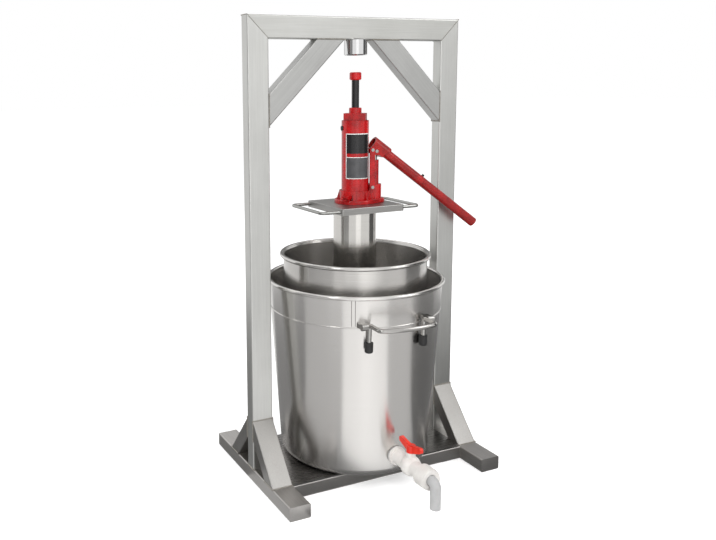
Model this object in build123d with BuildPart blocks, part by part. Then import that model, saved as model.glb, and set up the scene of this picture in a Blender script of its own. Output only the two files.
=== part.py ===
from build123d import *
import os
from math import cos, radians, sin, sqrt

os.makedirs("parts", exist_ok=True)

# Hydraulic fruit press, millimetres, +Z up, front towards -Y.
# The origin is on the floor under the pressing axis, midway between the uprights.

# Frame of rectangular stainless tube
overall_width = 440
overall_height = 840
tube_wide = 40
tube_deep = 25
tube_wall = 1.5
tube_round = 2.5
rail_length = 320
end_cap_thick = 1.5
cross_rail_reach = 97
weld_depth = 6
base_plate_thick = 2
corner_brace_leg = 151
foot_brace_top = 118
foot_brace_reach = 93

# Socket ring under the beam that keeps the jack head in place
socket_outer = 41.5
socket_bore = 34
socket_height = 27

# General gaps between pieces that move against each other
rest_gap = 0.3
running_gap = 0.05

# Outer pot
pot_foot_radius = 140
pot_lip_radius = 162.5
pot_rim_radius = 166.5
pot_height = 337.5
pot_wall = 1.5
pot_corner = 15
pot_bead = 3.6
pot_swage_drop = 56
pot_swage = 1.2

# Pot handles: bent rod on two pivots, rubber feet on the legs
handle_turn = 4
handle_rod = 8
handle_half_width = 53
handle_reach = 38
handle_bow = 12
handle_leg = 46
handle_stand_off = 8
handle_bend = 9
leg_bend = 6
grip_bend = 200
handle_foot_diameter = 14.5
handle_foot_length = 18
pivot_pin = 6
lug_diameter = 12
lug_length = 12

# Drain valve and spout
drain_height = 39
drain_bore = 16
spigot_diameter = 20
back_nut_thick = 4
gasket_thick = 3
gasket_diameter = 31
flange_diameter = 33
flange_thick = 5
barrel_diameter = 27
housing_diameter = 36
housing_distance = 46
ball_diameter = 24
outlet_diameter = 24
outlet_end = 99
union_length = 22
union_diameter = 37
union_wall = 5
stem_diameter = 8
stem_tower_height = 25
stem_tower_diameter = 16
grip_length = 62
grip_height = 19
grip_thick = 6
grip_hub_height = 12
spout_diameter = 18
spout_bore = 14
spout_reach = 17
spout_drop = 44
spout_bend = 9.5

# Inner basket
basket_radius = 134
basket_rim_radius = 141
basket_wall = 1.5
basket_height = 381
basket_corner = 8
basket_flare = 3
basket_bead = 3.6
basket_floor_lift = 16
basket_foot_diameter = 12
basket_foot_circle = 105
basket_foot_count = 4

# Press: tray, tube and disc
tray_top = 503
tray_size = 130
tray_round = 3
tray_sheet = 3
tray_lip = 12
press_tube_diameter = 80
press_tube_wall = 2
press_tube_length = 250
disc_thick = 6
disc_hole = 10
disc_hole_circles = ((62, 10), (88, 16), (114, 22))
wire_diameter = 6
wire_reach = 37
wire_half_width = 58
wire_bend = 9

# Bottle jack, built with its pump towards +X and then turned
pump_turn = 10
jack_foot_radius = 38
jack_foot_thick = 7
jack_cone_height = 16
jack_cone_top = 29
jack_rib_count = 8
jack_rib_thick = 5
reservoir_radius = 25
reservoir_wall = 2
reservoir_height = 129
top_nut_flats = 40
top_nut_height = 13
cylinder_radius = 16
ram_radius = 11.5
ram_proud = 10
ram_length = 140
screw_radius = 6.85
screw_proud = 50
screw_length = 108
screw_hole_depth = 112
head_radius = 10.75
head_height = 14
pump_distance = 38.5
pump_boss_radius = 13
pump_boss_height = 33
pump_body_radius = 8
pump_body_height = 45
plunger_radius = 5
plunger_depth = 35
plunger_eye_radius = 7
fulcrum_distance = 28
fulcrum_height = 97.5
link_pin_radius = 3
link_thick = 3
link_half_width = 5
link_gap = 13.5
link_foot_height = 28.5
lever_slope = 37.4
lever_swing = 32
lever_offset = 13.5
socket_tube_radius = 12.5
cheek_thick = 3.5
cheek_gap = 8.6
socket_mouth = 26
handle_radius = 9
handle_wall = 1.5
handle_inner_length = 104
handle_outer_length = 138
handle_neck_length = 32
clip_radius = 2.5
clip_proud = 3.5
release_turn = -135
release_radius = 5
release_proud = 11
filler_radius = 4.5
filler_height = 138

# Levels and places that follow from the sizes above
half_width = overall_width / 2
inner_half = half_width - tube_wide
beam_bottom = overall_height - tube_wide
rail_top = tube_deep
plate_top = rail_top + base_plate_thick
pot_bottom = plate_top + rest_gap
pot_top = pot_bottom + pot_height
pot_floor = pot_bottom + pot_wall
pot_slope = (pot_lip_radius - pot_foot_radius) / (pot_height - pot_bead)
pot_swage_height = pot_top - pot_swage_drop
basket_bottom = pot_floor + rest_gap
basket_top = pot_floor + basket_height
tube_top = tray_top - tray_sheet
disc_top = tube_top - press_tube_length
jack_floor = tray_top + rest_gap
reservoir_bottom = jack_floor + jack_foot_thick + jack_cone_height
reservoir_top = reservoir_bottom + reservoir_height
nut_top = reservoir_top + top_nut_height
ram_top = nut_top + ram_proud
ram_bottom = ram_top - ram_length
head_bottom = ram_top + screw_proud


def pot_radius(height):
    return pot_foot_radius + pot_slope * (height - pot_bottom)


def clear_of_pot():
    with Locations((0, 0, pot_bottom)):
        Cone(
            pot_foot_radius,
            pot_radius(pot_top),
            pot_height,
            align=(Align.CENTER, Align.CENTER, Align.MIN),
            mode=Mode.SUBTRACT,
        )


def save(part, name):
    part.label = name
    export_step(part, f"parts/{name}.step")


def turned(part, angle):
    return part.rotate(Axis.Z, angle)


# Frame tubes: one rectangular tube cut to length by planes
def cut_tube(start, along, wide_way, length, ends):
    with BuildPart() as tube:
        with BuildSketch(Plane(origin=start, x_dir=wide_way, z_dir=along)):
            RectangleRounded(tube_wide, tube_deep, tube_round)
            RectangleRounded(
                tube_wide - 2 * tube_wall,
                tube_deep - 2 * tube_wall,
                tube_round - tube_wall,
                mode=Mode.SUBTRACT,
            )
        extrude(amount=length)
        for end in ends:
            split(bisect_by=end, keep=Keep.TOP)
    return tube.part


for side, name in ((-1, "left"), (1, "right")):
    outer_corner = (side * half_width, 0, overall_height)
    tube_x = side * (half_width - tube_wide / 2)

    # Upright, mitred at 45 degrees under the beam
    mitre = Plane(origin=outer_corner, z_dir=(side, 0, -1))
    save(
        cut_tube((tube_x, 0, rail_top), (0, 0, 1), (1, 0, 0), overall_height, [mitre]),
        f"upright_{name}",
    )

    # Corner brace at 45 degrees between upright and beam
    brace_cut = tube_wide * sqrt(2)
    brace_start = (
        side * (inner_half + tube_wide),
        0,
        beam_bottom - corner_brace_leg + brace_cut / 2 - tube_wide,
    )
    against_upright = Plane(origin=(side * inner_half, 0, 0), z_dir=(-side, 0, 0))
    under_beam = Plane(origin=(0, 0, beam_bottom), z_dir=(0, 0, -1))
    save(
        cut_tube(
            brace_start,
            (-side, 0, 1),
            (side, 0, 1),
            2 * corner_brace_leg + brace_cut,
            [against_upright, under_beam],
        ),
        f"corner_brace_{name}",
    )

    # Foot braces in front of and behind the upright
    for way, place in ((-1, "front"), (1, "rear")):
        face_top = Vector(0, way * tube_deep / 2, foot_brace_top)
        face_foot = Vector(0, way * foot_brace_reach, rail_top)
        along = (face_top - face_foot).normalized()
        inward = Vector(0, -way * along.Z, way * along.Y)
        start = face_foot - along * tube_wide + inward * (tube_deep / 2) + Vector(tube_x, 0, 0)
        on_rail = Plane(origin=(0, 0, rail_top), z_dir=(0, 0, 1))
        on_upright = Plane(origin=(0, way * tube_deep / 2, 0), z_dir=(0, way, 0))
        save(
            cut_tube(start, along, (1, 0, 0), 2 * foot_brace_top, [on_rail, on_upright]),
            f"foot_brace_{place}_{name}",
        )

# Top beam, mitred at both ends
mitre_left = Plane(origin=(-half_width, 0, overall_height), z_dir=(1, 0, 1))
mitre_right = Plane(origin=(half_width, 0, overall_height), z_dir=(-1, 0, 1))
beam_start = (-half_width, 0, overall_height - tube_wide / 2)
save(
    cut_tube(beam_start, (1, 0, 0), (0, 0, 1), overall_width, [mitre_left, mitre_right]),
    "top_beam",
)

# Floor frame: two foot rails with two cross rails welded flush between them
floor_tubes = []
for way in (-1, 1):
    rail_start = (way * (half_width - tube_wide / 2), end_cap_thick - rail_length / 2, tube_deep / 2)
    floor_tubes.append(
        cut_tube(rail_start, (0, 1, 0), (1, 0, 0), rail_length - 2 * end_cap_thick, [])
    )
    cross_start = (-inner_half - weld_depth, way * (cross_rail_reach - tube_wide / 2), tube_deep / 2)
    floor_tubes.append(
        cut_tube(cross_start, (1, 0, 0), (0, 1, 0), 2 * (inner_half + weld_depth), [])
    )
save(floor_tubes[0].fuse(*floor_tubes[1:]).clean(), "floor_frame")

# Base plate on the cross rails
with BuildPart() as base_plate:
    with BuildSketch(Plane.XY.offset(rail_top)):
        Rectangle(2 * inner_half, 2 * cross_rail_reach)
    extrude(amount=base_plate_thick)
save(base_plate.part, "base_plate")

# Caps that close the four rail ends
with BuildPart() as rail_end_caps:
    for way in (-1, 1):
        rail_end = Plane(
            origin=(0, way * rail_length / 2, tube_deep / 2), x_dir=(1, 0, 0), z_dir=(0, way, 0)
        )
        with BuildSketch(rail_end):
            with GridLocations(overall_width - tube_wide, 0, 2, 1):
                RectangleRounded(tube_wide, tube_deep, tube_round)
        extrude(amount=-end_cap_thick)
save(rail_end_caps.part, "rail_end_caps")

# Socket ring under the beam
with BuildPart() as socket_ring:
    with BuildSketch(Plane.XY.offset(beam_bottom)):
        Circle(socket_outer / 2)
        Circle(socket_bore / 2, mode=Mode.SUBTRACT)
    extrude(amount=-socket_height)
    chamfer(socket_ring.edges().group_by(Axis.Z)[0], 1)
save(socket_ring.part, "ram_socket_ring")


# Outer pot: tapered wall, rounded foot, swaged line and rolled rim
bead_height = pot_top - pot_bead
drain_level = pot_bottom + drain_height
with BuildPart() as pot:
    with BuildSketch(Plane.XZ):
        with BuildLine():
            FilletPolyline(
                (0, pot_bottom),
                (pot_foot_radius, pot_bottom),
                (pot_lip_radius, bead_height),
                radius=pot_corner,
            )
            offset(amount=pot_wall, side=Side.LEFT)
        make_face()
        with Locations((pot_radius(pot_swage_height), pot_swage_height)):
            Circle(pot_swage)
        with Locations((pot_rim_radius - pot_bead, bead_height)):
            Circle(pot_bead)
    revolve(axis=Axis.Z)
    with BuildSketch(Plane.XZ):
        with Locations((0, drain_level)):
            Circle(spigot_diameter / 2)
    extrude(amount=pot_rim_radius, mode=Mode.SUBTRACT)
save(pot.part, "pot_shell")

# Pot handles, one at the front and one at the back
pivot_height = pot_swage_height + handle_rod
pivot_reach = sqrt((pot_radius(pivot_height) + handle_stand_off) ** 2 - handle_half_width**2)
foot_top = pivot_height - handle_leg + handle_foot_length
foot_stand_off = handle_foot_diameter / 2 + rest_gap
foot_reach = sqrt((pot_radius(foot_top) + foot_stand_off) ** 2 - handle_half_width**2)
bend_inset = leg_bend * (1 - sqrt(0.5))
pin_reach = pivot_reach + bend_inset
pin_height = pivot_height - bend_inset
lug_inner = handle_half_width + handle_rod / 2 + 2 * rest_gap

for name, angle in (("front", -handle_turn), ("rear", 180 - handle_turn)):
    leg_end = Vector(-handle_half_width, -foot_reach, pivot_height - handle_leg)
    leg_top = Vector(-handle_half_width, -pivot_reach, pivot_height)
    corner = Vector(-handle_half_width, -pivot_reach - handle_reach, pivot_height)
    middle = Vector(0, -pivot_reach - handle_reach - handle_bow, pivot_height)
    left_side = [leg_end, leg_top, corner]
    right_side = [Vector(-p.X, p.Y, p.Z) for p in reversed(left_side)]

    # Bent rod with its two pivot pins
    with BuildPart() as pot_handle:
        with BuildLine() as rod_line:
            rod_path = FilletPolyline(
                *left_side,
                middle,
                *right_side,
                radius=[leg_bend, handle_bend, grip_bend, handle_bend, leg_bend],
            )
        with BuildSketch(Plane(origin=leg_end, z_dir=leg_top - leg_end)):
            Circle(handle_rod / 2)
        sweep(path=rod_line.line)
        for way in (-1, 1):
            pin_start = (way * handle_half_width, -pin_reach, pin_height)
            with BuildSketch(Plane(origin=pin_start, z_dir=(way, 0, 0))):
                Circle(pivot_pin / 2)
            extrude(amount=lug_inner - handle_half_width + lug_length)
    save(turned(pot_handle.part, angle), f"pot_handle_{name}")

    # Rubber feet pushed on the legs
    with BuildPart() as handle_feet:
        for way in (-1, 1):
            end = Vector(way * leg_end.X, leg_end.Y, leg_end.Z)
            up = Vector(0, leg_top.Y - leg_end.Y, leg_top.Z - leg_end.Z).normalized()
            cap_thick = handle_foot_length / 6
            with BuildSketch(Plane(origin=end - up * cap_thick, z_dir=up)):
                Circle(handle_foot_diameter / 2)
            extrude(amount=handle_foot_length)
            with BuildSketch(Plane(origin=end, z_dir=up)):
                Circle(handle_rod / 2)
            extrude(amount=handle_foot_length, mode=Mode.SUBTRACT)
        fillet(handle_feet.edges().group_by(Axis.Z)[0], cap_thick)
    save(turned(handle_feet.part, angle), f"handle_feet_{name}")

    # Lugs welded on the pot that the pins turn in
    with BuildPart() as handle_lugs:
        for way in (-1, 1):
            lug_face = Plane(origin=(way * lug_inner, 0, 0), x_dir=(0, 1, 0), z_dir=(way, 0, 0))
            lug_y = -pin_reach
            lug_z = way * pin_height
            with BuildSketch(lug_face):
                with Locations((lug_y, lug_z)):
                    Circle(lug_diameter / 2)
                with Locations((lug_y + pot_wall + lug_diameter, lug_z)):
                    Rectangle(2 * (lug_diameter + pot_wall), lug_diameter * 2 / 3)
            extrude(amount=lug_length)
            with BuildSketch(lug_face):
                with Locations((lug_y, lug_z)):
                    Circle(pivot_pin / 2 + running_gap)
            extrude(amount=lug_length, mode=Mode.SUBTRACT)
        clear_of_pot()
    save(turned(handle_lugs.part, angle), f"handle_lugs_{name}")


# Drain valve, pointing to the front; distances run outwards from the pot's wall
drain_wall = pot_radius(drain_level)


def drain_plane(distance):
    return Plane(origin=(0, -drain_wall - distance, drain_level), x_dir=(1, 0, 0), z_dir=(0, -1, 0))


nut_inset = pot_wall + 1.3
with BuildPart() as drain_back_nut:
    with BuildSketch(drain_plane(-nut_inset)):
        RegularPolygon(flange_diameter / 2 - 2, 6)
        Circle(spigot_diameter / 2, mode=Mode.SUBTRACT)
    extrude(amount=-back_nut_thick)
save(drain_back_nut.part, "drain_back_nut")

with BuildPart() as drain_gasket:
    with BuildSketch(drain_plane(gasket_thick)):
        Circle(gasket_diameter / 2)
        Circle(spigot_diameter / 2, mode=Mode.SUBTRACT)
    extrude(amount=-2 * gasket_thick)
    clear_of_pot()
save(drain_gasket.part, "drain_gasket")

with BuildPart() as valve_body:
    with BuildSketch(drain_plane(-nut_inset - back_nut_thick)):
        Circle(spigot_diameter / 2)
    extrude(amount=nut_inset + back_nut_thick + gasket_thick)
    with BuildSketch(drain_plane(gasket_thick)):
        Circle(flange_diameter / 2)
    extrude(amount=flange_thick)
    with BuildSketch(drain_plane(gasket_thick)):
        Circle(barrel_diameter / 2)
    extrude(amount=outlet_end - union_length - gasket_thick)
    with BuildSketch(drain_plane(outlet_end - union_length)):
        Circle(outlet_diameter / 2)
    extrude(amount=union_length)
    with Locations(drain_plane(housing_distance)):
        Sphere(housing_diameter / 2)
    with BuildSketch(Plane(origin=(0, -drain_wall - housing_distance, drain_level))):
        Circle(stem_tower_diameter / 2)
    extrude(amount=stem_tower_height)
    with BuildSketch(drain_plane(outlet_end)):
        Circle(drain_bore / 2)
    extrude(amount=-2 * outlet_end, mode=Mode.SUBTRACT)
    with Locations(drain_plane(housing_distance)):
        Sphere(ball_diameter / 2 + running_gap, mode=Mode.SUBTRACT)
    with BuildSketch(Plane(origin=(0, -drain_wall - housing_distance, drain_level))):
        Circle(stem_diameter / 2 + running_gap)
    extrude(amount=stem_tower_height, mode=Mode.SUBTRACT)
save(valve_body.part, "valve_body")

stem_base = Plane(origin=(0, -drain_wall - housing_distance, drain_level))
grip_base = drain_level + stem_tower_height + rest_gap
with BuildPart() as valve_ball:
    with Locations(stem_base):
        Sphere(ball_diameter / 2)
    with BuildSketch(drain_plane(0)):
        Circle(drain_bore / 2)
    extrude(amount=2 * housing_distance, mode=Mode.SUBTRACT)
save(valve_ball.part, "valve_ball")

with BuildPart() as valve_stem:
    with BuildSketch(Plane(origin=(0, -drain_wall - housing_distance, drain_level))):
        Circle(stem_diameter / 2)
    extrude(amount=stem_tower_height + rest_gap)
    with Locations(stem_base):
        Sphere(ball_diameter / 2, mode=Mode.SUBTRACT)
save(valve_stem.part, "valve_stem")

# Butterfly grip: a hub and two upswept wings along the pipe
with BuildPart() as valve_grip:
    with BuildSketch(Plane(origin=(0, -drain_wall - housing_distance, grip_base))):
        Circle(stem_tower_diameter / 2)
    extrude(amount=grip_hub_height)
    wing_plane = Plane(
        origin=(0, -drain_wall - housing_distance, grip_base), x_dir=(0, 1, 0), z_dir=(1, 0, 0)
    )
    with BuildSketch(wing_plane):
        with BuildLine():
            Polyline(
                (-grip_length / 2, grip_height),
                (-grip_length / 2, grip_height / 2),
                (-stem_tower_diameter / 2, 0),
                (stem_tower_diameter / 2, 0),
                (grip_length / 2, grip_height / 2),
                (grip_length / 2, grip_height),
                (0, grip_height * 2 / 3),
                close=True,
            )
        make_face()
        fillet(vertices().sort_by(Axis.Y)[2:], grip_thick * 2 / 3)
    extrude(amount=grip_thick / 2, both=True)
save(valve_grip.part, "valve_grip")

with BuildPart() as union_nut:
    with BuildSketch(drain_plane(outlet_end - union_length)):
        Circle(union_diameter / 2)
        Circle(outlet_diameter / 2, mode=Mode.SUBTRACT)
    extrude(amount=union_length)
    with BuildSketch(drain_plane(outlet_end)):
        Circle(union_diameter / 2)
        Circle(spout_diameter / 2, mode=Mode.SUBTRACT)
    extrude(amount=union_wall, taper=10)
    chamfer(union_nut.edges().group_by(Axis.Y)[-1].sort_by(SortBy.LENGTH)[-1], 2)
save(union_nut.part, "union_nut")

# Bent spout
spout_start = drain_plane(outlet_end).origin
spout_corner = spout_start + Vector(0, -spout_reach, 0)
spout_end = spout_corner + Vector(0, 0, -spout_drop)
with BuildPart() as spout:
    with BuildLine() as spout_line:
        FilletPolyline(spout_start, spout_corner, spout_end, radius=spout_bend)
    with BuildSketch(drain_plane(outlet_end)):
        Circle(spout_diameter / 2)
        Circle(spout_bore / 2, mode=Mode.SUBTRACT)
    sweep(path=spout_line.line)
save(spout.part, "spout_elbow")


# Inner basket with a flared, rolled rim, standing on small feet
basket_floor = basket_bottom + basket_floor_lift
basket_bead_height = basket_top - basket_bead
with BuildPart() as basket:
    with BuildSketch(Plane.XZ):
        with BuildLine():
            FilletPolyline(
                (0, basket_floor),
                (basket_radius, basket_floor),
                (basket_radius, basket_bead_height),
                (basket_rim_radius - basket_bead, basket_bead_height),
                radius=[basket_corner, basket_flare],
            )
            offset(amount=basket_wall, side=Side.LEFT)
        make_face()
        with Locations((basket_rim_radius - basket_bead, basket_bead_height)):
            Circle(basket_bead)
    revolve(axis=Axis.Z)
save(basket.part, "basket_shell")

with BuildPart() as basket_feet:
    with BuildSketch(Plane.XY.offset(basket_bottom)):
        with PolarLocations(basket_foot_circle, basket_foot_count):
            Circle(basket_foot_diameter / 2)
    extrude(amount=basket_floor_lift)
save(basket_feet.part, "basket_feet")


# Press: perforated disc, tube, tray with turned-down edges and two wire handles
with BuildPart() as press_disc:
    with BuildSketch(Plane.XY.offset(disc_top)):
        Circle(basket_radius - basket_wall - rest_gap)
        for circle, count in disc_hole_circles:
            with PolarLocations(circle, count):
                Circle(disc_hole / 2, mode=Mode.SUBTRACT)
    extrude(amount=-disc_thick)
save(press_disc.part, "press_disc")

with BuildPart() as press_tube:
    with BuildSketch(Plane.XY.offset(disc_top)):
        Circle(press_tube_diameter / 2)
        Circle(press_tube_diameter / 2 - press_tube_wall, mode=Mode.SUBTRACT)
    extrude(amount=press_tube_length)
save(press_tube.part, "press_tube")

with BuildPart() as tray:
    with BuildSketch(Plane.XY.offset(tray_top)):
        RectangleRounded(tray_size, tray_size, tray_round)
    extrude(amount=-tray_lip)
    with BuildSketch(Plane.XY.offset(tray_top - tray_lip)):
        Rectangle(tray_size - 2 * tray_sheet, tray_size - 2 * tray_sheet)
    extrude(amount=tray_lip - tray_sheet, mode=Mode.SUBTRACT)
    fillet(tray.edges().group_by(Axis.Z)[-1], 1.5)
save(tray.part, "press_tray")

for way, name in ((-1, "left"), (1, "right")):
    wire_root = Vector(way * tray_size / 2, wire_half_width, tray_top - tray_lip / 2)
    wire_corner = wire_root + Vector(way * wire_reach, 0, 0)
    with BuildPart() as tray_handle:
        with BuildLine() as wire_line:
            FilletPolyline(
                wire_root,
                wire_corner,
                Vector(wire_corner.X, -wire_corner.Y, wire_corner.Z),
                Vector(wire_root.X, -wire_root.Y, wire_root.Z),
                radius=wire_bend,
            )
        with BuildSketch(Plane(origin=wire_root, z_dir=(way, 0, 0))):
            Circle(wire_diameter / 2)
        sweep(path=wire_line.line)
    save(tray_handle.part, f"tray_handle_{name}")


# Bottle jack
def save_jack(part, name):
    save(turned(part, -pump_turn), name)


foot_top_level = jack_floor + jack_foot_thick
with BuildPart() as jack_base:
    with BuildSketch(Plane.XY.offset(jack_floor)):
        Circle(jack_foot_radius)
        with Locations((pump_distance, 0)):
            Circle(jack_foot_radius / 2)
        make_hull()
    extrude(amount=jack_foot_thick)
    fillet(jack_base.edges().group_by(Axis.Z)[-1], 2)
    with BuildSketch(Plane.XY.offset(foot_top_level)):
        Circle(jack_cone_top)
    extrude(amount=jack_cone_height)
    for index in range(jack_rib_count):
        rib_angle = (index + 0.5) * 360 / jack_rib_count
        with BuildSketch(Plane.XZ.rotated((0, 0, rib_angle))):
            with BuildLine():
                Polyline(
                    (0, foot_top_level - 1),
                    (jack_foot_radius - 4, foot_top_level - 1),
                    (jack_cone_top, foot_top_level + jack_cone_height),
                    (0, foot_top_level + jack_cone_height),
                    close=True,
                )
            make_face()
        extrude(amount=jack_rib_thick / 2, both=True)
    with BuildSketch(Plane.XY.offset(jack_floor)):
        with Locations((pump_distance, 0)):
            Circle(pump_boss_radius)
    extrude(amount=pump_boss_height)
    with BuildSketch(Plane.XY.offset(jack_floor)):
        with Locations((fulcrum_distance, 0)):
            Rectangle(2 * link_half_width, 2 * link_gap)
    extrude(amount=pump_boss_height)
    with BuildSketch(Plane.XY.offset(reservoir_bottom)):
        Circle(reservoir_radius)
    extrude(amount=pump_boss_height, mode=Mode.SUBTRACT)
    release_axis = Vector(cos(radians(release_turn)), sin(radians(release_turn)), 0)
    release_boss = jack_foot_radius - 1
    release_origin = Vector(0, 0, foot_top_level + release_radius)
    with BuildSketch(Plane(origin=release_origin, z_dir=release_axis)):
        Circle(release_radius + 2)
    extrude(amount=release_boss)
    with BuildSketch(Plane(origin=release_origin + release_axis * release_boss, z_dir=release_axis)):
        Circle(release_radius / 2 + running_gap)
    extrude(amount=-release_proud, mode=Mode.SUBTRACT)
    with BuildSketch(Plane.XZ):
        with Locations((fulcrum_distance, jack_floor + link_foot_height)):
            Circle(link_pin_radius + running_gap)
    extrude(amount=link_gap, both=True, mode=Mode.SUBTRACT)
save_jack(jack_base.part, "jack_base")

with BuildPart() as release_valve:
    release_face = Plane(origin=release_origin + release_axis * (release_boss + rest_gap), z_dir=release_axis)
    with BuildSketch(release_face):
        Circle(release_radius)
    extrude(amount=release_proud)
    with BuildSketch(release_face):
        Circle(release_radius / 2)
    extrude(amount=-release_proud)
    with BuildSketch(Plane(origin=release_face.origin + release_axis * release_proud, z_dir=release_axis)):
        Rectangle(2 * release_radius, release_radius / 2)
    extrude(amount=-release_radius, mode=Mode.SUBTRACT)
save_jack(release_valve.part, "release_valve")

filler_level = jack_floor + filler_height
with BuildPart() as reservoir:
    with BuildSketch(Plane.XY.offset(reservoir_bottom)):
        Circle(reservoir_radius)
        Circle(reservoir_radius - reservoir_wall, mode=Mode.SUBTRACT)
    extrude(amount=reservoir_height)
    with BuildSketch(Plane.YZ):
        with Locations((0, filler_level)):
            Circle(filler_radius)
    extrude(amount=-reservoir_radius, mode=Mode.SUBTRACT)
save_jack(reservoir.part, "oil_reservoir")

with BuildPart() as filler_plug:
    with BuildSketch(Plane.YZ.offset(-reservoir_radius - reservoir_wall)):
        with Locations((0, filler_level)):
            Circle(filler_radius)
    extrude(amount=2 * reservoir_wall)
save_jack(filler_plug.part, "filler_plug")

with BuildPart() as pressure_cylinder:
    with BuildSketch(Plane.XY.offset(reservoir_bottom)):
        Circle(cylinder_radius)
        Circle(ram_radius + running_gap, mode=Mode.SUBTRACT)
    extrude(amount=reservoir_height)
save_jack(pressure_cylinder.part, "pressure_cylinder")

with BuildPart() as top_nut:
    with BuildSketch(Plane.XY.offset(reservoir_top)):
        Circle(reservoir_radius - reservoir_wall)
        RegularPolygon(top_nut_flats / 2, 6, major_radius=False, mode=Mode.INTERSECT)
        Circle(ram_radius + running_gap, mode=Mode.SUBTRACT)
    extrude(amount=top_nut_height)
save_jack(top_nut.part, "top_nut")

with BuildPart() as ram:
    with BuildSketch(Plane.XY.offset(ram_bottom)):
        Circle(ram_radius)
    extrude(amount=ram_length)
    with BuildSketch(Plane.XY.offset(ram_top)):
        Circle(screw_radius + running_gap)
    extrude(amount=-screw_hole_depth, mode=Mode.SUBTRACT)
    chamfer(ram.edges().group_by(Axis.Z)[-1].sort_by(SortBy.LENGTH)[-1], 1)
save_jack(ram.part, "ram")

with BuildPart() as extension_screw:
    with BuildSketch(Plane.XY.offset(head_bottom)):
        Circle(screw_radius)
    extrude(amount=-screw_length)
save_jack(extension_screw.part, "extension_screw")

with BuildPart() as jack_head:
    with BuildSketch(Plane.XY.offset(head_bottom)):
        Circle(head_radius)
    extrude(amount=head_height)
    chamfer(jack_head.edges().group_by(Axis.Z)[-1], 1.5)
    chamfer(jack_head.edges().group_by(Axis.Z)[0], 1.5)
save_jack(jack_head.part, "jack_head")

# Pump
boss_top = jack_floor + pump_boss_height
pump_top = boss_top + pump_body_height
fulcrum_level = jack_floor + fulcrum_height
half_swing = radians(lever_swing / 2)
plunger_arm = (pump_distance - fulcrum_distance) / cos(half_swing)
plunger_level = fulcrum_level - plunger_arm * sin(half_swing)
with BuildPart() as pump_body:
    with BuildSketch(Plane.XY.offset(boss_top)):
        with Locations((pump_distance, 0)):
            Circle(pump_body_radius)
    extrude(amount=pump_body_height)
    with BuildSketch(Plane.XY.offset(pump_top)):
        with Locations((pump_distance, 0)):
            Circle(plunger_radius + running_gap)
    extrude(amount=-plunger_depth - 1, mode=Mode.SUBTRACT)
save_jack(pump_body.part, "pump_body")

with BuildPart() as pump_plunger:
    with BuildSketch(Plane.XY.offset(pump_top - plunger_depth)):
        with Locations((pump_distance, 0)):
            Circle(plunger_radius)
    extrude(amount=plunger_depth + plunger_level - pump_top)
    with BuildSketch(Plane.XZ):
        with Locations((pump_distance, plunger_level)):
            Circle(plunger_eye_radius)
    extrude(amount=cheek_gap - rest_gap, both=True)
    with BuildSketch(Plane.XZ):
        with Locations((pump_distance, plunger_level)):
            Circle(link_pin_radius)
    extrude(amount=cheek_gap, both=True, mode=Mode.SUBTRACT)
save_jack(pump_plunger.part, "pump_plunger")

cheek_outer = cheek_gap + cheek_thick
with BuildPart() as plunger_pin:
    with BuildSketch(Plane.XZ):
        with Locations((pump_distance, plunger_level)):
            Circle(link_pin_radius)
    extrude(amount=cheek_outer, both=True)
save_jack(plunger_pin.part, "plunger_pin")

# Fulcrum links on both sides of the pump, and their pins
with BuildPart() as fulcrum_links:
    for way in (-1, 1):
        with BuildSketch(Plane.XZ.offset(way * link_gap)):
            with Locations((fulcrum_distance, jack_floor + (link_foot_height + fulcrum_height) / 2)):
                SlotCenterToCenter(fulcrum_height - link_foot_height, 2 * link_half_width, rotation=90)
            with Locations(
                (fulcrum_distance, jack_floor + link_foot_height),
                (fulcrum_distance, fulcrum_level),
            ):
                Circle(link_pin_radius, mode=Mode.SUBTRACT)
        extrude(amount=way * link_thick)
save_jack(fulcrum_links.part, "fulcrum_links")

pin_half_length = link_gap + link_thick + 2
for name, level in (("link_foot_pin", jack_floor + link_foot_height), ("fulcrum_pin", fulcrum_level)):
    with BuildPart() as link_pin:
        with BuildSketch(Plane.XZ):
            with Locations((fulcrum_distance, level)):
                Circle(link_pin_radius)
        extrude(amount=pin_half_length, both=True)
    save_jack(link_pin.part, name)

# Lever socket: arched channel over the plunger eye, with a round mouth for the handle
slope = radians(lever_slope)
lever_way = Vector(cos(slope), 0, -sin(slope))
lever_up = Vector(sin(slope), 0, cos(slope))
fulcrum = Vector(fulcrum_distance, 0, fulcrum_level)
lever_foot = fulcrum + lever_up * lever_offset
cheek_bottom = lever_offset + link_half_width
yoke_end = (Vector(pump_distance, 0, plunger_level) - lever_foot).dot(lever_way) + plunger_eye_radius + 2


def lever_section(distance):
    return Plane(origin=lever_foot + lever_way * distance, x_dir=(0, 1, 0), z_dir=lever_way)


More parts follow.
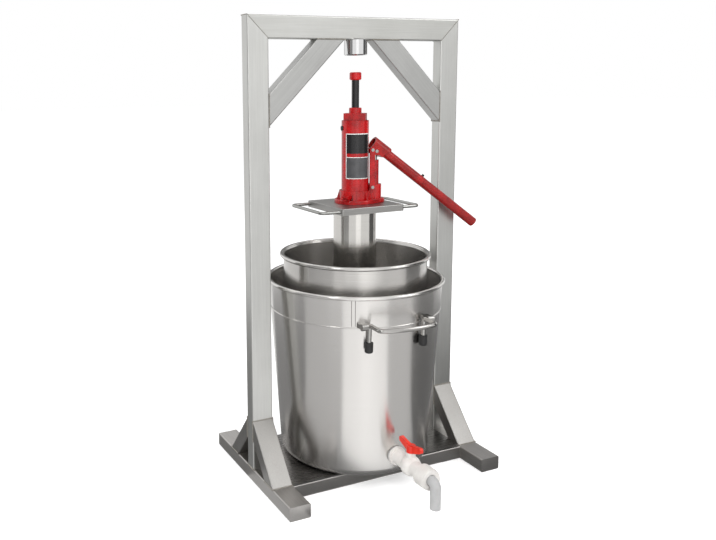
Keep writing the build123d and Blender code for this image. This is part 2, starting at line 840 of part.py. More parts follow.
lever_side = Plane(origin=lever_foot, x_dir=lever_way, z_dir=(0, -1, 0))
tongue = 8
with BuildPart() as lever_socket:
    with BuildSketch(lever_section(-link_half_width)):
        Circle(socket_tube_radius)
        with Locations((0, -cheek_bottom / 2)):
            Rectangle(2 * cheek_outer, cheek_bottom)
    extrude(amount=link_half_width + socket_mouth + tongue)
    with BuildSketch(lever_section(-link_half_width)):
        Circle(handle_radius + 2 * running_gap)
    extrude(amount=link_half_width + socket_mouth + tongue, mode=Mode.SUBTRACT)
    with BuildSketch(lever_section(-link_half_width)):
        with Locations((0, -cheek_bottom / 2)):
            Rectangle(2 * cheek_gap, cheek_bottom)
    extrude(amount=link_half_width + yoke_end, mode=Mode.SUBTRACT)
    with BuildSketch(lever_side):
        with BuildLine():
            Polyline(
                (-link_half_width / 2 - 1, socket_tube_radius),
                (-link_half_width / 2, -link_half_width),
                (-link_half_width + 1, -lever_offset + 2),
                (-link_half_width + 1, -lever_offset - 2),
                (-1, -cheek_bottom),
                (yoke_end - plunger_eye_radius, -cheek_bottom + 2),
                (yoke_end, -socket_tube_radius),
                (socket_mouth, -socket_tube_radius),
                (socket_mouth + 2, 0),
                (socket_mouth + tongue, socket_tube_radius / 2),
                (socket_mouth + tongue, socket_tube_radius),
                close=True,
            )
        make_face()
    extrude(amount=socket_tube_radius, both=True, mode=Mode.INTERSECT)
    pin_slack = plunger_arm - (pump_distance - fulcrum_distance) + 2 * running_gap
    plunger_hole = lever_side.to_local_coords(Vector(pump_distance, 0, plunger_level))
    with BuildSketch(lever_side):
        with Locations((0, -lever_offset)):
            Circle(link_pin_radius + running_gap)
        with Locations((plunger_hole.X, plunger_hole.Y)):
            SlotOverall(
                2 * link_pin_radius + 2 * pin_slack,
                2 * link_pin_radius + 2 * running_gap,
                rotation=lever_slope - lever_swing / 2,
            )
    extrude(amount=socket_tube_radius, both=True, mode=Mode.SUBTRACT)
save_jack(lever_socket.part, "lever_socket")

# Two-piece pump handle
handle_start = yoke_end + 1
joint_at = handle_start + handle_inner_length
clip_place = lever_foot + lever_way * (joint_at - 2 * clip_radius)
clip_plane = Plane(origin=clip_place + lever_up * (handle_radius - handle_wall), z_dir=lever_up)
with BuildPart() as handle_inner:
    with BuildSketch(lever_section(handle_start)):
        Circle(handle_radius)
        Circle(handle_radius - handle_wall, mode=Mode.SUBTRACT)
    extrude(amount=handle_inner_length)
    with BuildSketch(clip_plane):
        Circle(clip_radius)
    extrude(amount=handle_radius, mode=Mode.SUBTRACT)
save_jack(handle_inner.part, "handle_inner_tube")

neck_radius = handle_radius - handle_wall - 2 * running_gap
with BuildPart() as handle_outer:
    with BuildSketch(lever_section(joint_at + rest_gap)):
        Circle(handle_radius)
    extrude(amount=handle_outer_length)
    with BuildSketch(lever_section(joint_at + rest_gap)):
        Circle(neck_radius)
    extrude(amount=-handle_neck_length)
    with BuildSketch(lever_section(joint_at + rest_gap + handle_outer_length)):
        Circle(handle_radius - handle_wall)
    extrude(amount=-handle_outer_length + handle_radius, mode=Mode.SUBTRACT)
save_jack(handle_outer.part, "handle_outer_tube")

with BuildPart() as handle_clip:
    with BuildSketch(clip_plane):
        Circle(clip_radius)
    extrude(amount=handle_wall + clip_proud)
save_jack(handle_clip.part, "handle_clip")
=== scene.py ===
import math

import bmesh
import bpy
from mathutils import Matrix, Vector
from mathutils.bvhtree import BVHTree


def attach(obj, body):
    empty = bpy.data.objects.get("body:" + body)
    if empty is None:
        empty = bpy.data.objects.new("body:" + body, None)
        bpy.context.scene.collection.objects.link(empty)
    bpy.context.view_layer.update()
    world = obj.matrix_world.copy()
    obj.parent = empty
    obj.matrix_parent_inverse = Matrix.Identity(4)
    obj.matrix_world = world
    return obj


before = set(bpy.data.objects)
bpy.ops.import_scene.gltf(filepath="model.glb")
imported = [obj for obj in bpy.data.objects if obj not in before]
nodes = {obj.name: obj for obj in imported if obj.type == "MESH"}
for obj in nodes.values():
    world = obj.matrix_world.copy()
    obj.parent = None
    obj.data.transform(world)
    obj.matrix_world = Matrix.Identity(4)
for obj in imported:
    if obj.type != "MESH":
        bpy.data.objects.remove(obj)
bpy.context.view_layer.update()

mm = 0.001


def linearColor(hexColor):
    channels = [int(hexColor[i : i + 2], 16) / 255 for i in (1, 3, 5)]
    return [c / 12.92 if c <= 0.04045 else ((c + 0.055) / 1.055) ** 2.4 for c in channels] + [1.0]


def addNode(tree, kind, settings=None, links=None):
    node = tree.nodes.new(kind)
    for key, value in (settings or {}).items():
        if key == "stops":
            node.color_ramp.elements[0].position, node.color_ramp.elements[0].color = value[0]
            node.color_ramp.elements[1].position, node.color_ramp.elements[1].color = value[1]
        elif isinstance(key, str) and hasattr(node, key):
            setattr(node, key, value)
        else:
            node.inputs[key].default_value = value
    for key, socket in (links or {}).items():
        tree.links.new(socket, node.inputs[key])
    return node


def newMaterial(name):
    material = bpy.data.materials.new(name)
    material.use_nodes = True
    material.node_tree.nodes.clear()
    return material, material.node_tree


# What the four finishes share: a colour between two tones, and a roughness and bump from one pattern
def finishSurface(tree, tones, toneAt, mix, roughAt, pattern, bumpAt, shaderSettings, shaderLinks=None):
    dark, light = tones
    stops = [(toneAt[0], linearColor(dark)), (toneAt[1], linearColor(light))]
    color = addNode(tree, "ShaderNodeValToRGB", {"stops": stops}, {"Fac": mix})
    rough = addNode(
        tree,
        "ShaderNodeMapRange",
        {"To Min": roughAt[0], "To Max": roughAt[1]},
        {"Value": pattern},
    )
    links = {"Base Color": color.outputs[0], "Roughness": rough.outputs[0]}
    links.update(shaderLinks or {})
    shader = addNode(tree, "ShaderNodeBsdfPrincipled", shaderSettings, links)
    bump = addNode(
        tree,
        "ShaderNodeBump",
        {"Strength": bumpAt[0], "Distance": bumpAt[1] * mm},
        {"Height": pattern},
    )
    tree.links.new(bump.outputs[0], shader.inputs["Normal"])
    addNode(tree, "ShaderNodeOutputMaterial", links={"Surface": shader.outputs[0]})


# Brushed stainless tube: long belt-sanding lines along the tube, a few cloudy patches.
# Real lines are about 0.1 mm apart. They are drawn 1.5 mm apart, so that they show at all.
def brushedSteel(name, turn, light, dark, roughness, lineStep=1.5, lineLength=90):
    material, tree = newMaterial(name)
    place = addNode(tree, "ShaderNodeTexCoord").outputs["Object"]
    rotation = [math.radians(a) for a in turn]
    along = addNode(tree, "ShaderNodeMapping", {"Rotation": rotation}, {"Vector": place})
    scale = (1000 / lineStep, 1000 / lineStep, 1000 / lineLength)
    stretch = addNode(tree, "ShaderNodeMapping", {"Scale": scale}, {"Vector": along.outputs[0]})
    lines = addNode(
        tree,
        "ShaderNodeTexNoise",
        {"Scale": 1.0, "Detail": 3.0, "Roughness": 0.65},
        {"Vector": stretch.outputs[0]},
    )
    clouds = addNode(
        tree,
        "ShaderNodeTexNoise",
        {"Scale": 9.0, "Detail": 4.0, "Roughness": 0.55},
        {"Vector": place},
    )
    patches = addNode(
        tree,
        "ShaderNodeMapRange",
        {"To Min": -0.1, "To Max": 0.55},
        {"Value": clouds.outputs["Fac"]},
    )
    blend = addNode(
        tree,
        "ShaderNodeMath",
        {"operation": "MULTIPLY_ADD", 1: 0.55},
        {0: lines.outputs["Fac"], 2: patches.outputs[0]},
    )
    roughAt = (roughness - 0.07, roughness + 0.07)
    finishSurface(
        tree,
        (dark, light),
        (0.25, 0.75),
        blend.outputs[0],
        roughAt,
        lines.outputs["Fac"],
        (0.35, 0.05),
        {"Metallic": 1.0},
    )
    return material


# Spun stainless: fine turning lines run round the vertical axis, and smear reflections upright.
# Real lines are finer than 0.1 mm. They are drawn 1.2 mm apart or more, so that they show at all.
def spunSteel(name, light, dark, roughness, smear, lineStep=1.2):
    material, tree = newMaterial(name)
    place = addNode(tree, "ShaderNodeTexCoord").outputs["Object"]
    scale = (7.0, 7.0, 1000 / lineStep)
    stretch = addNode(tree, "ShaderNodeMapping", {"Scale": scale}, {"Vector": place})
    lines = addNode(
        tree,
        "ShaderNodeTexNoise",
        {"Scale": 1.0, "Detail": 3.0, "Roughness": 0.6},
        {"Vector": stretch.outputs[0]},
    )
    clouds = addNode(
        tree,
        "ShaderNodeTexNoise",
        {"Scale": 5.0, "Detail": 2.0, "Roughness": 0.5},
        {"Vector": place},
    )
    patches = addNode(
        tree,
        "ShaderNodeMapRange",
        {"To Min": 0.1, "To Max": 0.6},
        {"Value": clouds.outputs["Fac"]},
    )
    blend = addNode(
        tree,
        "ShaderNodeMath",
        {"operation": "MULTIPLY_ADD", 1: 0.4},
        {0: lines.outputs["Fac"], 2: patches.outputs[0]},
    )
    tangent = addNode(tree, "ShaderNodeTangent", {"direction_type": "RADIAL", "axis": "Z"})
    finishSurface(
        tree,
        (dark, light),
        (0.3, 0.8),
        blend.outputs[0],
        (roughness - 0.02, roughness + 0.03),
        lines.outputs["Fac"],
        (0.05, 0.01),
        {"Metallic": 1.0, "Anisotropic": smear, "Anisotropic Rotation": 0.25},
        {"Tangent": tangent.outputs[0]},
    )
    return material


# Sprayed enamel over a casting or a tube: glossy, a little orange peel, darker where it runs thin.
def sprayedEnamel(name, light, dark, roughness, coat, peelSize=3.0, peelDepth=0.06):
    material, tree = newMaterial(name)
    place = addNode(tree, "ShaderNodeTexCoord").outputs["Object"]
    clouds = addNode(
        tree,
        "ShaderNodeTexNoise",
        {"Scale": 40.0, "Detail": 5.0, "Roughness": 0.6},
        {"Vector": place},
    )
    peel = addNode(
        tree,
        "ShaderNodeTexNoise",
        {"Scale": 1000 / peelSize, "Detail": 2.0},
        {"Vector": place},
    )
    finishSurface(
        tree,
        (dark, light),
        (0.3, 0.65),
        clouds.outputs["Fac"],
        (roughness - 0.06, roughness + 0.1),
        peel.outputs["Fac"],
        (0.4, peelDepth),
        {"Coat Weight": coat, "Coat Roughness": 0.08, "Specular IOR Level": 0.3},
    )
    return material


# Moulded plastic or rubber: an even colour with slight flow clouds and a fine spark-eroded grain.
def moulded(name, light, dark, roughness, grain=0.6, clear=0.0):
    material, tree = newMaterial(name)
    place = addNode(tree, "ShaderNodeTexCoord").outputs["Object"]
    clouds = addNode(tree, "ShaderNodeTexNoise", {"Scale": 60.0, "Detail": 3.0}, {"Vector": place})
    specks = addNode(
        tree,
        "ShaderNodeTexNoise",
        {"Scale": 1000 / grain, "Detail": 2.0},
        {"Vector": place},
    )
    finishSurface(
        tree,
        (dark, light),
        (0.3, 0.7),
        clouds.outputs["Fac"],
        (roughness - 0.08, roughness + 0.08),
        specks.outputs["Fac"],
        (0.25, 0.03),
        {"Subsurface Weight": clear, "Subsurface Radius": (0.004, 0.004, 0.004)},
    )
    return material


# One brushed stainless in lit and shaded copies: the uprights and top beam are lightest, the braces and
# floor frame rails darker, the foot braces and base plate darkest. These steps in tone are painted light
# and painted shade, and the brushing direction of each is real.
satinUpright = brushedSteel("brushedStainlessUpright", (0, 0, 0), "#cfcfcc", "#bcbcb9", 0.36)
satinAcross = brushedSteel("brushedStainlessAcross", (0, 90, 0), "#cbcbc8", "#b6b6b2", 0.36)
satinFrontBackPaintedShade = brushedSteel("brushedStainlessFrontBackPaintedShade", (90, 0, 0), "#c4c1be", "#a5a29f", 0.36)
satinBraceLeftPaintedShade = brushedSteel("brushedStainlessBraceLeftPaintedShade", (0, -45, 0), "#bdbdbb", "#a8a8a6", 0.36)
satinBraceRightPaintedShade = brushedSteel("brushedStainlessBraceRightPaintedShade", (0, 45, 0), "#bdbdbb", "#a8a8a6", 0.36)
satinFootBracePaintedShade = brushedSteel("brushedStainlessFootBracePaintedShade", (0, 0, 0), "#a6a4a1", "#908e8b", 0.36)
sheetSteelPaintedShade = brushedSteel("rolledStainlessSheetPaintedShade", (0, 90, 0), "#989694", "#807e7c", 0.28, 2.5, 160)
trayTop = brushedSteel("brushedTraySheet", (0, 90, 0), "#a9a8a6", "#8c8a87", 0.34, 2.0, 70)
potWall = spunSteel("spunStainlessPot", "#dad8d5", "#d1cecb", 0.25, 0.8)
basketWall = spunSteel("spunStainlessBasket", "#d3d1ce", "#bfbcb8", 0.24, 0.8)
tubeWall = spunSteel("turnedStainlessTube", "#dcdad6", "#c8c5c0", 0.14, 0.6)
polishedRod = spunSteel("polishedStainlessRod", "#bdbbb8", "#9d9b98", 0.14, 0.0, 3.0)
brightChrome = spunSteel("brightChromeRing", "#e4e4e4", "#d2d2d2", 0.05, 0.0, 3.0)
drawnWire = spunSteel("drawnSteelWire", "#b5b5b2", "#9a9a97", 0.28, 0.0, 3.0)
groundSteel = spunSteel("groundSteelPins", "#c0bfbd", "#9f9e9b", 0.25, 0.0, 2.0)
glossRed = sprayedEnamel("glossRedEnamel", "#b8050b", "#7c0205", 0.26, 0.45)
satinRed = sprayedEnamel("satinRedEnamel", "#9c100d", "#6a0807", 0.38, 0.2)
blackOxide = sprayedEnamel("blackOxidedSteel", "#1c1c1d", "#111112", 0.38, 0.1, 2.0)
glossBlack = sprayedEnamel("glossBlackScrew", "#0e0e0f", "#080809", 0.2, 0.5, 2.5, 0.02)
weldMetal = brushedSteel("weldedStainlessBead", (0, 0, 0), "#b9b6b0", "#837d73", 0.3, 1.0, 6)
seamSteel = brushedSteel("rolledSeamSteel", (0, 0, 0), "#75726e", "#5b5855", 0.3, 1.0, 40)
labelWhite = moulded("glossLabelWhite", "#e9e9e7", "#dededb", 0.3, 1.5)
labelBlack = moulded("glossLabelBlack", "#151416", "#0d0c0e", 0.28, 1.5)
labelGrey = moulded("glossLabelGrey", "#4a4a4c", "#3c3c3e", 0.3, 1.5)
whitePlastic = moulded("mouldedWhitePvc", "#dedbd7", "#d2cfcb", 0.38, clear=0.15)
greyPlastic = moulded("mouldedGreyPvc", "#b4b4b4", "#a6a6a6", 0.42, clear=0.2)
redPlastic = moulded("mouldedRedGrip", "#e8331c", "#cf2412", 0.35)
blackRubber = moulded("mouldedBlackRubber", "#202020", "#141414", 0.62, 0.9)
print("materials ready")

finishes = {
    satinUpright: ["upright_left", "upright_right"],
    satinAcross: ["top_beam"],
    satinBraceLeftPaintedShade: ["corner_brace_left"],
    satinBraceRightPaintedShade: ["corner_brace_right"],
    satinFrontBackPaintedShade: ["floor_frame", "rail_end_caps"],
    satinFootBracePaintedShade: [
        "foot_brace_front_left",
        "foot_brace_front_right",
        "foot_brace_rear_left",
        "foot_brace_rear_right",
    ],
    sheetSteelPaintedShade: ["base_plate"],
    brightChrome: ["ram_socket_ring"],
    potWall: ["pot_shell"],
    polishedRod: [
        "handle_lugs_front",
        "handle_lugs_rear",
        "drain_back_nut",
        "pot_handle_front",
        "pot_handle_rear",
    ],
    blackRubber: ["handle_feet_front", "handle_feet_rear", "filler_plug"],
    whitePlastic: ["valve_body", "union_nut", "valve_ball", "valve_stem"],
    greyPlastic: ["spout_elbow", "drain_gasket"],
    redPlastic: ["valve_grip"],
    basketWall: ["basket_shell", "basket_feet", "press_disc"],
    tubeWall: ["press_tube"],
    trayTop: ["press_tray"],
    drawnWire: ["tray_handle_left", "tray_handle_right"],
    glossRed: [
        "jack_base",
        "oil_reservoir",
        "top_nut",
        "pump_body",
        "fulcrum_links",
        "ram",
        "jack_head",
        "release_valve",
    ],
    satinRed: ["lever_socket", "handle_inner_tube", "handle_outer_tube"],
    blackOxide: ["handle_clip"],
    glossBlack: ["extension_screw"],
    groundSteel: [
        "pressure_cylinder",
        "link_foot_pin",
        "fulcrum_pin",
        "pump_plunger",
        "plunger_pin",
    ],
}
for material, names in finishes.items():
    for name in names:
        nodes[name].data.materials.clear()
        nodes[name].data.materials.append(material)
print("CAD nodes dressed")


def pieceFrom(name, mesh, body):
    piece = bpy.data.objects.new(name, mesh)
    bpy.context.scene.collection.objects.link(piece)
    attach(piece, body)
    return piece


# Where a round node's outside is at a few heights, seen from one side
def outerRadii(nodeName, azimuth, heights):
    mesh = nodes[nodeName].data
    corners = [v.co for v in mesh.vertices]
    tree = BVHTree.FromPolygons(corners, [p.vertices for p in mesh.polygons])
    way = Vector((math.cos(azimuth), math.sin(azimuth), 0))
    hits = [tree.ray_cast(way + Vector((0, 0, height)), -way)[0] for height in heights]
    return [math.hypot(hit.x, hit.y) for hit in hits]


sheetGap = 0.03 * mm  # air under a sheet, so that it shares no face with what carries it


# A thin closed sheet wrapped round an upright axis: rows of heights, columns of angles, in cells
def wrapSheet(name, nodeName, angles, heights, thick, materials, cellMaterial):
    radii = outerRadii(nodeName, math.radians(angles[len(angles) // 2]), heights)
    mesh = bmesh.new()
    layers = []
    for lift in (sheetGap, thick):
        layer = []
        for z, radius in zip(heights, radii):
            row = []
            for angle in angles:
                turn = math.radians(angle)
                reach = radius + lift
                row.append(mesh.verts.new((reach * math.cos(turn), reach * math.sin(turn), z)))
            layer.append(row)
        layers.append(layer)
    inner, outer = layers
    for i in range(len(heights) - 1):
        for j in range(len(angles) - 1):
            face = mesh.faces.new((outer[i][j], outer[i][j + 1], outer[i + 1][j + 1], outer[i + 1][j]))
            face.material_index = cellMaterial(i, j)
            mesh.faces.new((inner[i][j], inner[i + 1][j], inner[i + 1][j + 1], inner[i][j + 1]))
    for j in range(len(angles) - 1):
        mesh.faces.new((inner[0][j], inner[0][j + 1], outer[0][j + 1], outer[0][j]))
        mesh.faces.new((outer[-1][j], outer[-1][j + 1], inner[-1][j + 1], inner[-1][j]))
    for i in range(len(heights) - 1):
        mesh.faces.new((outer[i][0], outer[i + 1][0], inner[i + 1][0], inner[i][0]))
        mesh.faces.new((inner[i][-1], inner[i + 1][-1], outer[i + 1][-1], outer[i][-1]))
    bmesh.ops.recalc_face_normals(mesh, faces=mesh.faces)
    data = bpy.data.meshes.new(name)
    mesh.to_mesh(data)
    mesh.free()
    for material in materials:
        data.materials.append(material)
    return data


def evenly(low, high, count):
    return [low + (high - low) * i / count for i in range(count + 1)]


# Bare label of the jack's oil reservoir: border, dark panel, red band and grey panel
label = {
    "fromAngle": -163.0,
    "toAngle": -50.0,
    "border": 3.4,
    "bottom": 0.549,
    "greyTop": 0.588,
    "bandTop": 0.5955,
    "top": 0.632,
    "edge": 0.0015,
    "innerEdge": 0.00105,
    "thick": 0.00012,
    "columns": 30,
}
labelAngles = (
    [label["fromAngle"]]
    + evenly(label["fromAngle"] + label["border"], label["toAngle"] - label["border"], label["columns"])
    + [label["toAngle"]]
)
labelHeights = [
    label["bottom"],
    label["bottom"] + label["edge"],
    label["greyTop"],
    label["greyTop"] + label["innerEdge"],
    label["bandTop"],
    label["top"] - label["edge"],
    label["top"],
]
labelRows = [0, 2, 0, 3, 1, 0]  # material of each row: 0 border, 1 dark, 2 grey, 3 red


def labelCell(row, column):
    if column in (0, len(labelAngles) - 2):
        return 0
    return labelRows[row]


labelMesh = wrapSheet(
    "reservoirLabel",
    "oil_reservoir",
    labelAngles,
    labelHeights,
    label["thick"],
    [labelWhite, labelBlack, labelGrey, glossRed],
    labelCell,
)
for face in labelMesh.polygons:
    face.use_smooth = len(face.vertices) == 4 and abs(face.normal.z) < 0.5
pieceFrom("reservoir_label", labelMesh, "jack")

# Upright seam of the pot's collar: two rolled lines between the swage and the rim
potSeam = {
    "angles": (-120.7, -123.0),
    "width": 0.32,
    "bottom": 0.3115,
    "top": 0.3575,
    "thick": 0.0003,
}
for index, angle in enumerate(potSeam["angles"]):
    seamMesh = wrapSheet(
        f"potSeam{index}",
        "pot_shell",
        evenly(angle - potSeam["width"] / 2, angle + potSeam["width"] / 2, 2),
        evenly(potSeam["bottom"], potSeam["top"], 6),
        potSeam["thick"],
        [seamSteel],
        lambda row, column: 0,
    )
    pieceFrom(f"pot_seam_{index}", seamMesh, "pot")
print("label and pot seam done")


# Weld ripples along an edge path: overlapping flattened beads, drawn coarser than real ones
def weldTree():
    tree = bpy.data.node_groups.new("weldRipples", "GeometryNodeTree")
    for socketName, kind in (
        ("Geometry", "NodeSocketGeometry"),
        ("Ripple Spacing", "NodeSocketFloat"),
        ("Bead Radius", "NodeSocketFloat"),
        ("Seed", "NodeSocketInt"),
        ("Metal", "NodeSocketMaterial"),
    ):
        tree.interface.new_socket(socketName, in_out="INPUT", socket_type=kind)
    tree.interface.new_socket("Geometry", in_out="OUTPUT", socket_type="NodeSocketGeometry")
    given = tree.nodes.new("NodeGroupInput").outputs
    path = addNode(tree, "GeometryNodeMeshToCurve", links={"Mesh": given["Geometry"]})
    steps = addNode(
        tree,
        "GeometryNodeResampleCurve",
        {"mode": "LENGTH"},
        {"Curve": path.outputs[0], "Length": given["Ripple Spacing"]},
    )
    bead = addNode(tree, "GeometryNodeMeshIcoSphere", {"Subdivisions": 2}, {"Radius": given["Bead Radius"]})
    tangent = addNode(tree, "GeometryNodeInputTangent")
    aim = addNode(tree, "FunctionNodeAlignRotationToVector", {"axis": "X"}, {"Vector": tangent.outputs[0]})
    size = addNode(
        tree,
        "FunctionNodeRandomValue",
        {"data_type": "FLOAT_VECTOR", 0: (0.7, 0.85, 0.85), 1: (0.95, 1.15, 1.15)},
        {"Seed": given["Seed"]},
    )
    beads = addNode(
        tree,
        "GeometryNodeInstanceOnPoints",
        links={
            "Points": steps.outputs[0],
            "Instance": bead.outputs["Mesh"],
            "Rotation": aim.outputs[0],
            "Scale": size.outputs[0],
        },
    )
    real = addNode(tree, "GeometryNodeRealizeInstances", links={"Geometry": beads.outputs[0]})
    smooth = addNode(tree, "GeometryNodeSetShadeSmooth", links={"Geometry": real.outputs[0]})
    dressed = addNode(
        tree,
        "GeometryNodeSetMaterial",
        links={"Geometry": smooth.outputs[0], "Material": given["Metal"]},
    )
    result = tree.nodes.new("NodeGroupOutput")
    tree.links.new(dressed.outputs[0], result.inputs[0])
    return tree


def grown(name, tree, points, edges, values, material):
    base = bpy.data.meshes.new(f"{name}Path")
    base.from_pydata(points, edges, [])
    carrier = bpy.data.objects.new(f"{name}Path", base)
    bpy.context.scene.collection.objects.link(carrier)
    modifier = carrier.modifiers.new("grow", "NODES")
    modifier.node_group = tree
    for item in tree.interface.items_tree:
        if item.in_out == "INPUT" and item.name in values:
            modifier[item.identifier] = values[item.name]
    view = bpy.context.evaluated_depsgraph_get()
    mesh = bpy.data.meshes.new_from_object(carrier.evaluated_get(view), depsgraph=view)
    mesh.name = name
    bpy.data.objects.remove(carrier)
    bpy.data.meshes.remove(base)
    mesh.materials.clear()
    mesh.materials.append(material)
    return mesh


frameWelds = {
    "spacing": 0.0022,
    "radius": 0.0014,
    "mitreRadius": 0.0007,
    "seed": 7,
    "insideX": 0.18,
    "outsideX": 0.22,
    "frontY": 0.0125,
    "beamBottom": 0.8,
    "beamTop": 0.84,
    "braceFoot": 0.649,
    "braceHead": 0.029,
    "braceCut": 0.0566,
    "railTop": 0.025,
    "footBraceTop": 0.118,
    "footBraceInner": 0.0798,
    "footBraceReach": 0.093,
    "footBraceHeel": 0.0599,
}
weld = frameWelds
fillets = []
mitres = []
for side in (-1, 1):
    inner = side * weld["insideX"]
    outer = side * weld["outsideX"]
    head = side * weld["braceHead"]
    for way in (-1, 1):
        y = way * weld["frontY"]
        corner = (outer, y, weld["beamTop"])
        mitres.append((corner, (inner, y, weld["beamBottom"])))
        fillets.append(((inner, y, weld["braceFoot"]), (inner, y, weld["braceFoot"] + weld["braceCut"])))
        headEnd = head + side * weld["braceCut"]
        fillets.append(((head, y, weld["beamBottom"]), (headEnd, y, weld["beamBottom"])))
        fillets.append(((inner, y, weld["footBraceTop"]), (outer, y, weld["footBraceTop"])))
        foot = way * weld["footBraceReach"]
        heel = way * weld["footBraceHeel"]
        for x in (inner, outer):
            fillets.append(((x, y, weld["footBraceInner"]), (x, y, weld["footBraceTop"])))
            fillets.append(((x, heel, weld["railTop"]), (x, foot, weld["railTop"])))
            fillets.append(((x, -y, weld["railTop"]), (x, y, weld["railTop"])))
        fillets.append(((inner, foot, weld["railTop"]), (outer, foot, weld["railTop"])))
    front = -weld["frontY"]
    back = weld["frontY"]
    mitres.append(((outer, front, weld["beamTop"]), (outer, back, weld["beamTop"])))
    fillets.append(((inner, front, weld["braceFoot"]), (inner, back, weld["braceFoot"])))
    fillets.append(((head, front, weld["beamBottom"]), (head, back, weld["beamBottom"])))

ripples = weldTree()
for weldName, runs, radius in (
    ("fillet_welds", fillets, weld["radius"]),
    ("mitre_welds", mitres, weld["mitreRadius"]),
):
    points = [point for run in runs for point in run]
    edges = [(2 * i, 2 * i + 1) for i in range(len(runs))]
    values = {
        "Ripple Spacing": weld["spacing"] * radius / weld["radius"],
        "Bead Radius": radius,
        "Seed": weld["seed"],
        "Metal": weldMetal,
    }
    weldMesh = grown(weldName, ripples, points, edges, values, weldMetal)
    pieceFrom(weldName, weldMesh, "frame")
print("welds done")


# Studio: white floor and world, soft lamps, and grey cards that only reflections see
studio = {
    "floorSize": 60.0,
    "floorDrop": 0.0002,
    "floorColor": "#f4f4f4",
    "floorGlow": 0.35,
    "floorInMirrors": 0.9,
    "worldStrength": 0.75,
    "lampsAimAt": 0.4,
    "cards": [
        # azimuth, distance, width, height, foot, brightness
        (59, 2.3, 2.6, 2.4, 0.5, 0.22),
        (-20, 1.5, 1.0, 1.6, 0.0, 0.12),
        (-102, 1.9, 0.9, 2.4, 0.0, 1.3),
        (-175, 1.9, 1.6, 2.2, 0.0, 0.3),
    ],
    "carpet": {
        "inner": 0.17,
        "outer": 1.25,
        "steps": 6,
        "bands": [
            # from azimuth, to azimuth, brightness: dark flags at the sides, a white card in front
            (-260, -185, 0.25),
            (-185, -135, 0.6),
            (-135, -80, 1.2),
            (-80, -45, 0.6),
            (-45, 60, 0.15),
        ],
    },
    "shadeLift": 0.0001,
    "frameShade": [
        # left, right, near, far, brightness: painted shadow, dark sheets that reflections see on the floor
        # between the foot rails
        (-0.18, 0.18, -0.19, -0.098, 0.16),
        (-0.18, 0.18, 0.098, 0.19, 0.16),
    ],
    "lamps": [
        # azimuth, distance, height, width, tall, watts
        (-105, 2.6, 1.6, 0.5, 2.0, 26),
        (-160, 2.8, 2.2, 1.6, 1.6, 32),
        (-40, 3.0, 2.4, 1.8, 1.8, 30),
        (70, 2.6, 2.4, 1.6, 1.6, 20),
    ],
}


def stageMesh(name, material, corners, faces):
    mesh = bpy.data.meshes.new(name)
    mesh.from_pydata(corners, [], faces)
    mesh.materials.append(material)
    thing = bpy.data.objects.new(name, mesh)
    bpy.context.scene.collection.objects.link(thing)
    return thing


def planeCorners(place, width, height, facing):
    turn = Vector(facing).to_track_quat("Z", "Y").to_matrix()
    halves = ((-1, -1), (1, -1), (1, 1), (-1, 1))
    return [Vector(place) + turn @ Vector((x * width / 2, y * height / 2, 0)) for x, y in halves]


# A card or paper that gives off an even light, and that only reflections see
def glowingCard(name, brightness, corners, faces):
    cardMaterial, cardTree = newMaterial(name)
    light = addNode(cardTree, "ShaderNodeEmission", {"Strength": brightness})
    addNode(cardTree, "ShaderNodeOutputMaterial", links={"Surface": light.outputs[0]})
    card = stageMesh(name, cardMaterial, corners, faces)
    card.visible_camera = False
    card.visible_diffuse = False
    card.visible_transmission = False
    card.visible_shadow = False


def levelWay(azimuth):
    return Vector((math.cos(math.radians(azimuth)), math.sin(math.radians(azimuth)), 0))


floorMaterial, tree = newMaterial("whitePaperFloor")
lightPath = addNode(tree, "ShaderNodeLightPath")
paper = addNode(tree, "ShaderNodeBsdfDiffuse", {"Color": linearColor(studio["floorColor"])})
glow = addNode(tree, "ShaderNodeEmission", {"Strength": studio["floorGlow"]})
plain = addNode(tree, "ShaderNodeEmission", {"Strength": studio["floorInMirrors"]})
lit = addNode(tree, "ShaderNodeAddShader", links={0: paper.outputs[0], 1: glow.outputs[0]})
seen = addNode(
    tree,
    "ShaderNodeMixShader",
    links={0: lightPath.outputs["Is Camera Ray"], 1: paper.outputs[0], 2: lit.outputs[0]},
)
mirrored = addNode(
    tree,
    "ShaderNodeMixShader",
    links={0: lightPath.outputs["Is Glossy Ray"], 1: seen.outputs[0], 2: plain.outputs[0]},
)
addNode(tree, "ShaderNodeOutputMaterial", links={"Surface": mirrored.outputs[0]})
floorSize = studio["floorSize"]
floorCorners = planeCorners((0, 0, -studio["floorDrop"]), floorSize, floorSize, (0, 0, 1))
stageMesh("paperFloor", floorMaterial, floorCorners, [(0, 1, 2, 3)])

for index, (azimuth, distance, width, height, foot, brightness) in enumerate(studio["cards"]):
    way = levelWay(azimuth)
    place = way * distance + Vector((0, 0, foot + height / 2))
    glowingCard(f"greyCard{index}", brightness, planeCorners(place, width, height, -way), [(0, 1, 2, 3)])

carpet = studio["carpet"]
steps = carpet["steps"]
rings = (carpet["inner"], carpet["outer"])
carpetFaces = [(i, i + steps + 1, i + steps + 2, i + 1) for i in range(steps)]
for index, (start, end, brightness) in enumerate(carpet["bands"]):
    corners = [levelWay(angle) * radius for radius in rings for angle in evenly(start, end, steps)]
    glowingCard(f"floorPaper{index}", brightness, corners, carpetFaces)
for index, (left, right, near, far, brightness) in enumerate(studio["frameShade"]):
    lift = studio["shadeLift"]
    corners = [(left, near, lift), (right, near, lift), (right, far, lift), (left, far, lift)]
    glowingCard(f"frameShade{index}", brightness, corners, [(0, 1, 2, 3)])

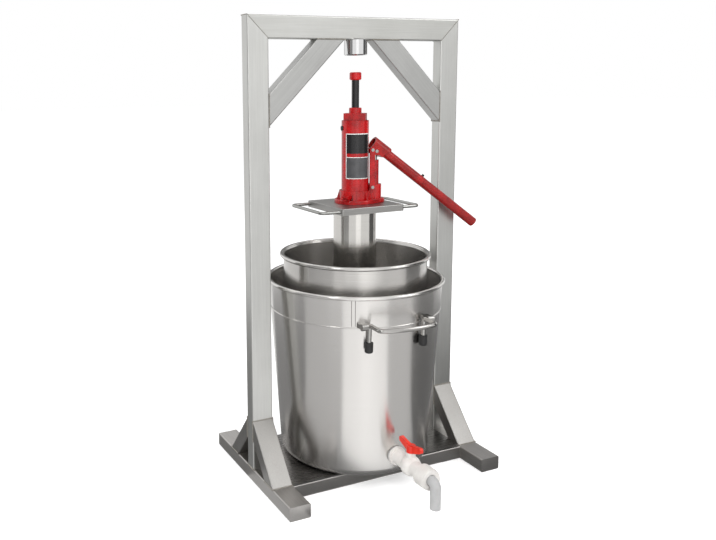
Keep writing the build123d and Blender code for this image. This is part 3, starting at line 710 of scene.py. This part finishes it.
for index, (azimuth, distance, height, width, tall, watts) in enumerate(studio["lamps"]):
    light = bpy.data.lights.new(f"softBox{index}", "AREA")
    light.shape = "RECTANGLE"
    light.size = width
    light.size_y = tall
    light.energy = watts
    lamp = bpy.data.objects.new(f"softBox{index}", light)
    way = levelWay(azimuth)
    lamp.location = way * distance + Vector((0, 0, height))
    aim = lamp.location - Vector((0, 0, studio["lampsAimAt"]))
    lamp.rotation_euler = aim.to_track_quat("Z", "Y").to_euler()
    bpy.context.scene.collection.objects.link(lamp)

world = bpy.data.worlds.new("whiteStudio")
bpy.context.scene.world = world
world.use_nodes = True
world.node_tree.nodes.clear()
tree = world.node_tree
lightPath = addNode(tree, "ShaderNodeLightPath")
cameraOrGlossy = addNode(
    tree,
    "ShaderNodeMath",
    {"operation": "MAXIMUM"},
    {0: lightPath.outputs["Is Camera Ray"], 1: lightPath.outputs["Is Glossy Ray"]},
)
direct = addNode(
    tree,
    "ShaderNodeMath",
    {"operation": "MAXIMUM"},
    {0: cameraOrGlossy.outputs[0], 1: lightPath.outputs["Is Transmission Ray"]},
)
strength = addNode(
    tree,
    "ShaderNodeMapRange",
    {"To Min": studio["worldStrength"], "To Max": 1.0},
    {"Value": direct.outputs[0]},
)
sky = addNode(tree, "ShaderNodeBackground", {"Color": (1, 1, 1, 1)}, {"Strength": strength.outputs[0]})
addNode(tree, "ShaderNodeOutputWorld", links={"Surface": sky.outputs[0]})

# Camera at the photograph's viewing angle
shot = {
    "place": (-0.75855, -1.24367, 0.71503),
    "yaw": 0.41417,
    "pitch": 0.14627,
    "roll": -0.01433,
    "focal": 781.358,
    "centre": (251.0, 204.0),
    "image": (716, 540),
}
forward = Vector(
    (
        math.sin(shot["yaw"]) * math.cos(shot["pitch"]),
        math.cos(shot["yaw"]) * math.cos(shot["pitch"]),
        -math.sin(shot["pitch"]),
    )
)
level = Vector((math.cos(shot["yaw"]), -math.sin(shot["yaw"]), 0))
upward = level.cross(forward)
rightward = level * math.cos(shot["roll"]) + upward * math.sin(shot["roll"])
upward = upward * math.cos(shot["roll"]) - level * math.sin(shot["roll"])
cameraData = bpy.data.cameras.new("productCamera")
camera = bpy.data.objects.new("productCamera", cameraData)
bpy.context.scene.collection.objects.link(camera)
turn = Matrix((rightward, upward, -forward)).transposed().to_4x4()
camera.matrix_world = Matrix.Translation(shot["place"]) @ turn
imageWidth, imageHeight = shot["image"]
cameraData.sensor_width = 36
cameraData.lens = shot["focal"] / imageWidth * cameraData.sensor_width
cameraData.shift_x = (imageWidth / 2 - shot["centre"][0]) / imageWidth
cameraData.shift_y = (shot["centre"][1] - imageHeight / 2) / imageWidth
cameraData.clip_start = 0.01
cameraData.clip_end = 200
bpy.context.scene.camera = camera
bpy.context.scene.view_settings.view_transform = "Standard"
print("studio and camera ready")
